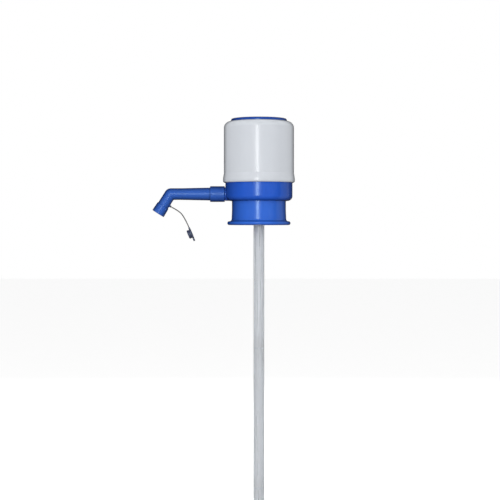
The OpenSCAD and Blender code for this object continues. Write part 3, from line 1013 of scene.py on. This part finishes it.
@dataclass(frozen=True)
class ScrewPosts:
    """Posts for screws, on a ring that starts at an angle in degrees.

    Each runs from its closed root to the mouth of its pilot hole, which stops at a height.
    """

    count: int
    ring_r: float
    start: float
    root: float
    mouth: float
    pilot_end: float
    outer_r: float = 3.2
    pilot_r: float = 1.35

    @property
    def section(self) -> Section:
        """The section of one post, from the root to the mouth and into the pilot hole."""
        return [
            (0.0, self.root),
            (self.outer_r, self.root),
            (self.outer_r, self.mouth, 0.3),
            (self.pilot_r, self.mouth, 0.2),
            (self.pilot_r, self.pilot_end),
            (0.0, self.pilot_end),
        ]

    def shells(self) -> list[BMesh]:
        """Builds the posts in their places.

        Returns:
            A closed shell for each, in millimetres.
        """
        angles = (self.start + 360.0 * i / self.count for i in range(self.count))
        posts = ((turned(self.section, 40), turn(angle, "Z")) for angle in angles)
        return [placed(post, way, move(self.ring_r)) for post, way in posts]


@dataclass
class NeckCollar:
    """The collar on the jug's neck, with its gasket and grip ring."""

    bore_r: float = 27.9
    top_r: float = 30.2
    foot_r: float = 30.7
    lip_r: float = 35.4
    lip_t: float = 4.2
    lip_round: float = 1.974
    height: float = 27.0
    ceiling_z: float = 24.5
    draft_top: float = 16.74
    draft_round: float = 20.0
    fillet: float = 2.6
    hole_r: float = 8.05
    seal_in: float = 23.2
    seal_out: float = 24.8
    seal_d: float = 1.5
    gasket_in: float = 20.35
    gasket_z: float = 22.0
    grip_z: float = 5.5
    grip_h: float = 6.5
    grip_d: float = 0.8
    lip_count: int = 3
    lip_reach: float = 0.5
    play: float = 0.05

    def build(self) -> None:
        """Builds the collar, the gasket and the grip ring."""
        hole = AirPort().cutter(self.ceiling_z, self.height)
        shell = carved(turned(self.section, 192), hole)
        finished("collar_shell", shell, COLLAR_BLUE, Body.BASE, ["neck_collar"])
        outer = self.bore_r - self.play
        gasket = pipe(self.gasket_in, outer, self.gasket_z, self.ceiling_z, 0.5, 128)
        finished("rim_gasket", gasket, SEAL_CLEAR, Body.BASE, ["neck_gasket"])
        finished("grip_ring", turned(self.lips, 128), SEAL_CLEAR, Body.BASE, ["neck_grip_ring"])

    @property
    def section(self) -> Section:
        """The collar's section, from the mouth round the lip and back through the socket."""
        grip_r, grip_top = self.bore_r + self.grip_d, self.grip_z + self.grip_h
        seal_floor = self.height - self.seal_d
        return [
            (self.bore_r, 0.0, 0.5),
            (self.lip_r, 0.0, self.lip_round, 8),
            (self.lip_r, self.lip_t, self.lip_round, 8),
            (self.foot_r, self.lip_t, self.fillet, 8),
            (self.top_r, self.draft_top, self.draft_round, 3),
            (self.top_r, self.height, 0.3),
            (self.seal_out, self.height, 0.15),
            (self.seal_out, seal_floor),
            (self.seal_in, seal_floor),
            (self.seal_in, self.height, 0.15),
            (self.hole_r, self.height, 0.2),
            (self.hole_r, self.ceiling_z, 0.2),
            (self.bore_r, self.ceiling_z, 0.4),
            (self.bore_r, grip_top, 0.1),
            (grip_r, grip_top),
            (grip_r, self.grip_z),
            (self.bore_r, self.grip_z, 0.1),
        ]

    @property
    def lips(self) -> Section:
        """The grip ring's section, round the outside and down the soft lips inside."""
        low, high = self.grip_z + self.play, self.grip_z + self.grip_h - self.play
        outer, inner = self.bore_r + self.grip_d - self.play, self.bore_r - self.play
        pitch = (high - low) / self.lip_count
        corners: Section = [(outer, low, 0.2), (outer, high, 0.2)]
        for i in reversed(range(self.lip_count)):
            corners.append((inner, low + (i + 1) * pitch, 0.1))
            corners.append((self.bore_r - self.lip_reach, low + (i + 0.6) * pitch, 0.12))
        return [*corners, (inner, low, 0.1)]


@dataclass
class PumpBase:
    """The blue drum, with the boss and nipple for the spout and the spigot below it."""

    outer_r: float = 37.6
    inner_r: float = 35.4
    bottom: float = 27.0
    floor: float = 29.0
    top: float = 56.3
    foot_round: float = 5.5
    ledge: float = 1.6
    bead_z: float = 52.7
    bead_half: float = 1.0
    bead_out: float = 0.3
    spigot_r: float = 8.0
    spigot_foot: float = 6.0
    riser_r: float = 5.0
    riser_top: float = 40.2
    wall: float = 1.6
    tube_r: float = 6.05
    tube_seat: float = 18.0
    spout_z: float = 34.7
    duct_r: float = 4.5
    duct_start: float = 5.2
    duct_end: float = 31.4
    boss_r: float = 7.6
    boss_start: float = 31.1
    boss_end: float = 37.9
    nipple_r: float = 6.6
    nipple_end: float = 53.6
    groove: float = 43.9
    groove_half: float = 1.1
    groove_d: float = 1.0
    deck_z: float = 46.0
    posts: ScrewPosts = ScrewPosts(4, 31.35, 45.0, 28.5, 45.95, 39.0)

    def build(self) -> None:
        """Builds the base as one piece."""
        hole = AirPort().cutter(self.bottom, self.floor)
        along = move(z=self.spout_z) @ turn(-90.0, "Y")
        duct = pipe(self.duct_r, self.duct_r + self.wall, self.duct_start, self.duct_end, 0.1, 64)
        whole = joined(
            carved(turned(self.drum, 192), hole),
            placed(turned(self.nozzle, 96), along),
            placed(duct, along),
            *self.posts.shells(),
        )
        finished("base_shell", whole, BASE_BLUE, Body.BASE, ["pump_base"])

    @property
    def drum(self) -> Section:
        """The drum's section, from the spigot's foot round the wall and down the riser."""
        inset, inset_z = self.outer_r - self.foot_round, self.bottom + self.foot_round
        riser_out, riser_end = self.riser_r + self.wall, self.riser_top + self.wall
        ledge_r, ledge_z = self.inner_r - self.ledge, self.deck_z - self.ledge
        return [
            (self.spigot_r, self.spigot_foot, 0.5),
            (self.spigot_r, self.bottom, 0.3),
            (self.outer_r, self.bottom, self.foot_round, 14),
            (self.outer_r, self.bead_z - self.bead_half),
            (self.outer_r + self.bead_out, self.bead_z, 0.4),
            (self.outer_r, self.bead_z + self.bead_half),
            (self.outer_r, self.top, 0.5),
            (self.inner_r, self.top, 0.3),
            (self.inner_r, self.deck_z),
            (ledge_r, self.deck_z, 0.2),
            (ledge_r, ledge_z, 0.2),
            (self.inner_r, ledge_z),
            (self.inner_r, inset_z, 0.5),
            (inset, inset_z, 0.5),
            (inset, self.floor, 0.5),
            (riser_out, self.floor, 0.6),
            (riser_out, riser_end, 0.5),
            (0.0, riser_end),
            (0.0, self.riser_top),
            (self.riser_r, self.riser_top),
            (self.riser_r, self.tube_seat),
            (self.tube_r, self.tube_seat),
            (self.tube_r, self.spigot_foot, 0.4),
        ]

    @property
    def nozzle(self) -> Section:
        """The section of the boss and nipple, along the spout's axis."""
        low, high = self.groove - self.groove_half, self.groove + self.groove_half
        groove_r = self.nipple_r - self.groove_d
        return [
            (self.duct_r, self.boss_start),
            (self.boss_r, self.boss_start),
            (self.boss_r, self.boss_end, 0.3),
            (self.nipple_r, self.boss_end, 0.3),
            (self.nipple_r, low, 0.1),
            (groove_r, low),
            (groove_r, high),
            (self.nipple_r, high, 0.1),
            (self.nipple_r, self.nipple_end, 0.6),
            (self.duct_r, self.nipple_end, 0.3),
        ]


@dataclass
class OuterCover:
    """The pale cover with its flared rim and round shoulder."""

    rim_r: float = 40.25
    side_r: float = 39.25
    inner_r: float = 37.25
    bore_r: float = 37.75
    opening_r: float = 31.65
    bottom: float = 47.3
    top: float = 116.0
    shoulder: float = 7.4
    inner_shoulder: float = 5.4
    rim_round: float = 2.2
    flare: tuple[float, float, float] = (51.54, 54.19, 57.9)
    flare_in: float = 0.35
    top_t: float = 2.2
    bore_top: float = 56.32
    groove_z: float = 52.7
    groove_half: float = 1.2
    groove_d: float = 0.35

    def build(self) -> None:
        """Builds the cover."""
        shell = turned(self.section, 224)
        finished("cover_shell", shell, COVER_WHITE, Body.BASE, ["outer_cover"])

    @property
    def section(self) -> Section:
        """The cover's section, from the rim up the outside and down the inside."""
        inside = self.top - self.top_t
        return [
            (self.bore_r, self.bottom, 0.3),
            (self.rim_r, self.bottom, self.rim_round, 12),
            (self.rim_r, self.flare[0], 8.0, 4),
            (self.rim_r - self.flare_in, self.flare[1], 8.0, 3),
            (self.side_r, self.flare[2], 6.0, 4),
            (self.side_r, self.top, self.shoulder, 24),
            (self.opening_r, self.top, 0.18, 3),
            (self.opening_r, inside, 0.3),
            (self.inner_r, inside, self.inner_shoulder, 14),
            (self.inner_r, self.bore_top, 0.1),
            (self.bore_r, self.bore_top),
            (self.bore_r, self.groove_z + self.groove_half),
            (self.bore_r + self.groove_d, self.groove_z),
            (self.bore_r, self.groove_z - self.groove_half),
        ]


@dataclass
class PressButton:
    """The press button with its skirt, stop and posts."""

    outer_r: float = 31.35
    edge_r: float = 2.0
    edge_top: float = 119.0
    crown: float = 1.2
    crown_steps: int = 10
    skirt_r: float = 29.35
    inside: float = 117.1
    foot: float = 73.5
    stop_r: float = 33.32
    stop_t: float = 2.0
    posts: ScrewPosts = ScrewPosts(3, 16.39, 30.0, 117.6, 90.5, 97.5)

    def build(self) -> None:
        """Builds the button."""
        whole = joined(turned(self.section, 192), *self.posts.shells())
        finished("button_shell", whole, BUTTON_BLUE_SHADED, Body.BUTTON, ["press_button"])

    @property
    def section(self) -> Section:
        """The button's section, from the crown's middle down the skirt and back inside."""
        flat = self.outer_r - self.edge_r
        stop_top = self.foot + self.stop_t
        shares = [i / self.crown_steps for i in range(self.crown_steps)]
        return [
            *((flat * share, self.edge_top + self.crown * (1.0 - share**2)) for share in shares),
            (self.outer_r, self.edge_top, self.edge_r, 10),
            (self.outer_r, stop_top, 0.3),
            (self.stop_r, stop_top, 0.3),
            (self.stop_r, self.foot, 0.3),
            (self.skirt_r, self.foot, 0.4),
            (self.skirt_r, self.inside, 1.0),
            (0.0, self.inside),
        ]


@dataclass
class AirPump:
    """The bellows and the return spring, which stretch in the pump as the button rises, built in
    one shape.
    """

    low: float = 52.0
    high: float = 87.5
    fold_out: float = 28.15
    fold_in: float = 22.65
    folds: int = 6
    flange: float = 1.2
    lip_out: float = 27.05
    shift: float = 2.008
    play: float = 0.02
    spring_foot: float = 49.0
    spring_low: float = 49.72
    spring_rise: float = 37.06
    spring_r: float = 9.0
    wire_r: float = 0.7
    wire_sides: int = 12
    coils: int = 8
    coil_steps: int = 30
    closed_rise: float = 1.47

    def build(self) -> None:
        """Builds the bellows and the spring, on neither base nor button."""
        skin = turned(self.section, 128)
        bellows = finished("bellows_skin", skin, BELLOWS_PALE, None, ["bellows"])
        self.stretch(bellows, self.low)
        spring = finished("spring_wire", self.wire(), STAINLESS, None, ["return_spring"])
        self.stretch(spring, self.spring_foot)

    def stretch(self, obj: bpy.types.Object, low: float) -> None:
        """Bakes a piece's placement into its mesh.

        Args:
            obj: The piece.
            low: Not used.
        """
        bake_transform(obj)

    @property
    def section(self) -> Section:
        """The bellows' section: a flange, the folds, a flange, and the folds' inside."""
        start, end = self.low + self.flange, self.high - self.flange
        low, high = self.low + self.play, self.high - self.play
        lip_in = self.fold_in - self.shift
        pitch = (end - start) / self.folds
        outside: Section = []
        for i in range(self.folds):
            outside.append((self.fold_in, start + i * pitch, 0.4 if i else 0.2, 3))
            outside.append((self.fold_out, start + (i + 0.5) * pitch, 0.35))
        outside.append((self.fold_in, end, 0.2, 3))
        inside = [(r - self.shift, z, 0.3, 3) for r, z, *_ in reversed(outside)]
        return [
            (lip_in, low, 0.2),
            (self.lip_out, low, 0.2),
            (self.lip_out, start, 0.2),
            *outside,
            (self.lip_out, end, 0.2),
            (self.lip_out, high, 0.2),
            (lip_in, high, 0.2),
            *inside[1:-1],
        ]

    def wire(self) -> BMesh:
        """Winds the spring: a closed coil at each end and open coils between.

        Returns:
            The closed wire, in millimetres.
        """
        bm = bmesh.new()
        bmesh.ops.create_circle(
            bm,
            cap_ends=False,
            radius=self.wire_r,
            segments=self.wire_sides,
            matrix=move(self.spring_r, 0.0, self.spring_low) @ turn(90.0, "X"),
        )
        geom = bm.verts[:] + bm.edges[:]
        inner = self.coils - 2
        open_rise = (self.spring_rise - 2 * self.closed_rise) / inner
        for coils, rise in ((1, self.closed_rise), (inner, open_rise), (1, self.closed_rise)):
            made = bmesh.ops.spin(
                bm,
                geom=geom,
                axis=UP,
                cent=ORIGIN,
                dvec=(0.0, 0.0, rise / self.coil_steps),
                angle=math.tau * coils,
                steps=self.coil_steps * coils,
            )
            geom = [g for g in made["geom_last"] if isinstance(g, BMVert | BMEdge)]
        bmesh.ops.holes_fill(bm, edges=[e for e in bm.edges if e.is_boundary])
        return bm


@dataclass
class Spout:
    """The bent spout with its nozzle ring and the tether's bead."""

    axis_z: float = 34.7
    root: float = 38.2
    socket_r: float = 8.8
    socket_end: float = 54.7
    socket_bore: float = 6.68
    socket_floor: float = 53.9
    root_r: float = 7.2
    pipe_r: float = 6.5
    bore_r: float = 5.1
    taper_end: float = 87.2
    reach: float = 99.2
    bend_r: float = 1.1
    bend_least: float = 1.2
    bend_steps: int = 16
    bend: float = 57.5
    tip_l: float = 25.9
    mouth_lip: float = 1.4
    ring_l: float = 10.6
    ring_r: float = 7.5
    ring_slope: float = 0.35
    ring_play: float = 0.05
    lug_s: float = 11.7
    lug_r: float = 1.8
    lug_top: float = 6.95
    bead_r: float = 1.1
    bead_s: float = 7.85
    pin_r: float = 0.8

    @property
    def tip_frame(self) -> Matrix:
        """Frame whose +Z runs from the bend down to the mouth."""
        return move(-self.reach, 0.0, self.axis_z) @ turn(270.0 - self.bend, "Y")

    @property
    def lug_frame(self) -> Matrix:
        """Frame whose +Z runs out of the lug under the tip."""
        return self.tip_frame @ move(z=self.lug_s) @ turn(-90.0, "Y")

    def build(self) -> None:
        """Builds the pipe, the nozzle ring and the bead."""
        lug = placed(rod(self.lug_r, self.bore_r + 0.3, self.lug_top, 0.35, 32), self.lug_frame)
        shell = joined(self.pipe(), lug)
        finished("spout_shell", shell, SPOUT_BLUE, Body.SPOUT, ["spout_pipe"], 34.0)
        ring = placed(turned(self.mouth, 96), self.tip_frame)
        finished("nozzle_band", ring, SPOUT_BLUE, Body.SPOUT, ["nozzle_ring"])
        finished("bead", self.bead(), TETHER_GREY, Body.SPOUT, ["tether_bead"])

    def pipe(self) -> BMesh:
        """Draws the pipe's wall: out over the socket to the tip, and back inside.

        Returns:
            The closed wall, in millimetres.
        """
        angle = math.radians(self.bend)
        start = self.bend_r * math.tan(angle / 2)
        run, tip = self.reach - start, self.tip_l - self.mouth_lip - start
        pivot = Vector((-run, 0.0, self.axis_z - self.bend_r))
        centre = Vector((-self.socket_floor, 0.0, self.axis_z))
        hose = Hose(centre, Vector((1.0, 0.0, 0.0)), self.socket_bore)
        hose.draw(self.socket_floor - self.root)
        hose.back()
        hose.draw(0.0, self.socket_r, soft=0.35)
        hose.draw(self.socket_end - self.root, soft=0.7)
        hose.draw(0.0, self.root_r, soft=0.8)
        hose.draw(self.taper_end - self.socket_end, self.pipe_r, soft=0.35)
        hose.draw(run - self.taper_end)
        hose.bend(pivot, Vector((0.0, -1.0, 0.0)), angle, self.bend_least, self.bend_steps)
        hose.draw(tip)
        hose.draw(0.0, self.bore_r, soft=0.2)
        hose.back()
        hose.draw(tip)
        hose.bend(pivot, Vector((0.0, 1.0, 0.0)), angle, self.bend_least, self.bend_steps)
        hose.draw(run - self.socket_floor)
        return hose.closed()

    @property
    def mouth(self) -> Section:
        """The nozzle ring's section, along the tip's axis."""
        low, high = self.tip_l - self.ring_l, self.tip_l
        seat = self.pipe_r + self.ring_play
        return [
            (seat, low, 0.2),
            (self.ring_r - self.ring_slope, low, 0.5, 5),
            (self.ring_r, high, 0.6, 6),
            (self.bore_r, high, 0.4),
            (self.bore_r, high - self.mouth_lip),
            (seat, high - self.mouth_lip),
        ]

    def bead(self) -> BMesh:
        """Builds the bead on its pin.

        Returns:
            Both in one mesh, in millimetres.
        """
        ball = bmesh.new()
        bmesh.ops.create_uvsphere(ball, u_segments=32, v_segments=20, radius=self.bead_r)
        pin = rod(self.pin_r, self.bore_r + 0.02, self.bead_s, 0.1, 24)
        return placed(joined(placed(ball, move(z=self.bead_s)), pin), self.lug_frame)


@dataclass
class CapAndTether:
    """The cap that hangs open on its tether."""

    route: tuple[tuple[float, float], ...] = (
        (-97.85, 19.95),
        (-96.0, 19.0),
        (-94.1, 17.95),
        (-92.2, 16.8),
        (-90.4, 15.6),
        (-88.7, 14.35),
        (-87.2, 12.95),
        (-85.9, 11.4),
        (-84.8, 9.7),
        (-83.7, 8.0),
        (-82.7, 6.2),
        (-81.7, 4.3),
        (-80.8, 2.4),
        (-79.9, 0.5),
        (-79.1, -1.2),
        (-78.5, -2.6),
    )
    thickness: float = 1.3
    lean: float = 22.5
    flange_r: float = 6.2
    flange_t: float = 1.8
    neck_l: float = 1.2
    neck_w: float = 2.6
    tab_l: float = 2.8
    tab_w: float = 5.0
    plug_r: float = 5.0
    plug_h: float = 3.2
    plug_wall: float = 1.1
    waist: float = 0.25
    waist_end: float = 2.0
    bead_end: float = 1.4
    lead_in: float = 0.1
    overlap: float = 0.3

    def build(self) -> None:
        cap = self.cap()
        tether = self.tether()

    def tether(self) -> bpy.types.Object:
        """Lays the tether as one smooth round curve.

        Returns:
            The tether's object.
        """
        data = bpy.data.curves.new("tether", "CURVE")
        data.dimensions = "3D"
        data.bevel_depth = self.thickness / 2 * MM
        data.bevel_resolution = 5
        data.resolution_u = 6
        data.use_fill_caps = True
        spline = data.splines.new("BEZIER")
        spline.bezier_points.add(len(self.route) - 1)
        for knot, (x, z) in zip(spline.bezier_points, self.route, strict=True):
            knot.co = Vector((x, 0.0, z)) * MM
            knot.handle_left_type = knot.handle_right_type = "AUTO"
        data.materials.append(TETHER_GREY.material())
        obj = bpy.data.objects.new("tether", data)
        bpy.context.scene.collection.objects.link(obj)
        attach(obj, Body.CAP.value)
        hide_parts("cap_tether")
        return obj

    def cap(self) -> bpy.types.Object:
        """Builds the cap: a flange with a pull tab, a neck to the tether and a hollow plug.

        Returns:
            The cap's object.
        """
        x, z = self.route[-1]
        frame = move(x, 0.0, z) @ turn(180.0 - self.lean, "Y")
        middle = move(z=self.neck_l + self.flange_r)
        across = middle @ turn(90.0, "Y")
        half = self.flange_t / 2
        tab_l, tab_round = self.flange_r + self.tab_l, self.tab_w / 2
        whole = joined(
            placed(rod(self.flange_r, -half, half, 0.55, 72), across),
            slab(self.neck_w, self.neck_l + self.flange_r, self.flange_t, 0.0, 0.4),
            placed(slab(self.tab_w, tab_l, self.flange_t, tab_round, 0.45), middle),
            placed(turned(self.plug, 72), across),
        )
        return finished("stopper", placed(whole, frame), CAP_SLATE, Body.CAP, ["spout_cap"])

    @property
    def plug(self) -> Section:
        """The plug's section: a hollow cup with a lead-in and a sealing bead."""
        floor = self.flange_t / 2
        end = floor + self.plug_h
        waist, bore = self.plug_r - self.waist, self.plug_r - self.plug_wall
        return [
            (0.0, floor - self.overlap),
            (waist, floor - self.overlap),
            (waist, end - self.waist_end, 0.4),
            (self.plug_r, end - self.bead_end, 0.5),
            (waist - self.lead_in, end, 0.5),
            (bore, end, 0.25),
            (bore, floor, 0.4),
            (0.0, floor),
        ]


@dataclass
class DipTube:
    """Three sections of tube and the two joiners between them."""

    outer_r: float = 6.0
    inner_r: float = 4.8
    top: float = 17.98
    section_l: float = 155.0
    rim: float = 2.0
    joint_l: float = 12.0
    plug_r: float = 4.75
    plug_in: float = 3.65
    notch_w: float = 4.0
    notch_h: float = 5.0
    notch_past: float = 2.0

    def build(self) -> None:
        """Builds the tube from the top down."""
        top = self.top
        for name, joiner in (("upper", "upper"), ("middle", "lower"), ("lower", None)):
            foot = top - self.section_l
            shell = pipe(self.inner_r, self.outer_r, foot, top)
            top = foot - self.rim
            if joiner is None:
                shell = carved(shell, *self.notches(foot))
            finished(f"{name}_pipe", shell, TUBE_MILK, Body.BASE, [f"{name}_tube"])
            if joiner is not None:
                shell = turned(self.joiner(top, foot), 96)
                finished(f"{joiner}_coupling", shell, JOINER_MILK, Body.BASE, [f"{joiner}_joiner"])

    def joiner(self, low: float, high: float) -> Section:
        """Lays out a joiner's section.

        Args:
            low: Height of its rim's lower side.
            high: Height of its rim's upper side.

        Returns:
            Its corners, from the rim up the outside and down the bore.
        """
        return [
            (self.plug_r, low),
            (self.outer_r, low, 0.25),
            (self.outer_r, high, 0.25),
            (self.plug_r, high),
            (self.plug_r, high + self.joint_l, 0.4),
            (self.plug_in, high + self.joint_l, 0.2),
            (self.plug_in, low - self.joint_l, 0.2),
            (self.plug_r, low - self.joint_l, 0.4),
        ]

    def notches(self, foot: float) -> list[BMesh]:
        """Makes the two bars across the tube's foot that leave four notches.

        Args:
            foot: Height of the tube's foot.

        Returns:
            The bars, in millimetres.
        """
        size = (self.notch_w, self.notch_h + self.notch_past, 4 * self.outer_r)
        below = move(z=foot - self.notch_past)
        return [placed(slab(*size, 0.0, 0.3), below, turn(side, "Z")) for side in (0.0, 90.0)]


@dataclass
class InnerWorks:
    """The CAD nodes that keep their own shape, and their finishes."""

    finishes: tuple[tuple[Finish, tuple[str, ...]], ...] = (
        (NATURAL, ("clamp_nut", "pump_deck", "pressure_plate")),
        (NATURAL, ("lower_clamp_ring", "upper_clamp_ring")),
        (STAINLESS, ("deck_screws", "plate_screws")),
        (SEAL_BLACK, ("collar_seal", "spout_seal", "nut_washer", "duct_gasket")),
        (SEAL_BLACK, ("outlet_valve", "intake_valve")),
    )

    def dress(self, nodes: dict[str, bpy.types.Object]) -> None:
        """Gives each node its finish.

        Args:
            nodes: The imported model's nodes by name.
        """
        for finish, names in self.finishes:
            for name in names:
                for slot in nodes[name].material_slots:
                    slot.material = finish.material()
                LOG.info("%s: %s", name, finish.name)


def main() -> None:
    """Builds the looks in order."""
    logging.basicConfig(level=logging.INFO, format="%(message)s")
    for obj in list(bpy.data.objects):
        bpy.data.objects.remove(obj)
    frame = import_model()
    studio = Studio()
    studio.set_camera()
    CapAndTether().build()
    Spout().build()
    NeckCollar().build()
    PumpBase().build()
    OuterCover().build()
    PressButton().build()
    AirPump().build()
    DipTube().build()
    InnerWorks().dress(frame["nodes"])
    studio.light()


if __name__ == "__main__":
    main()
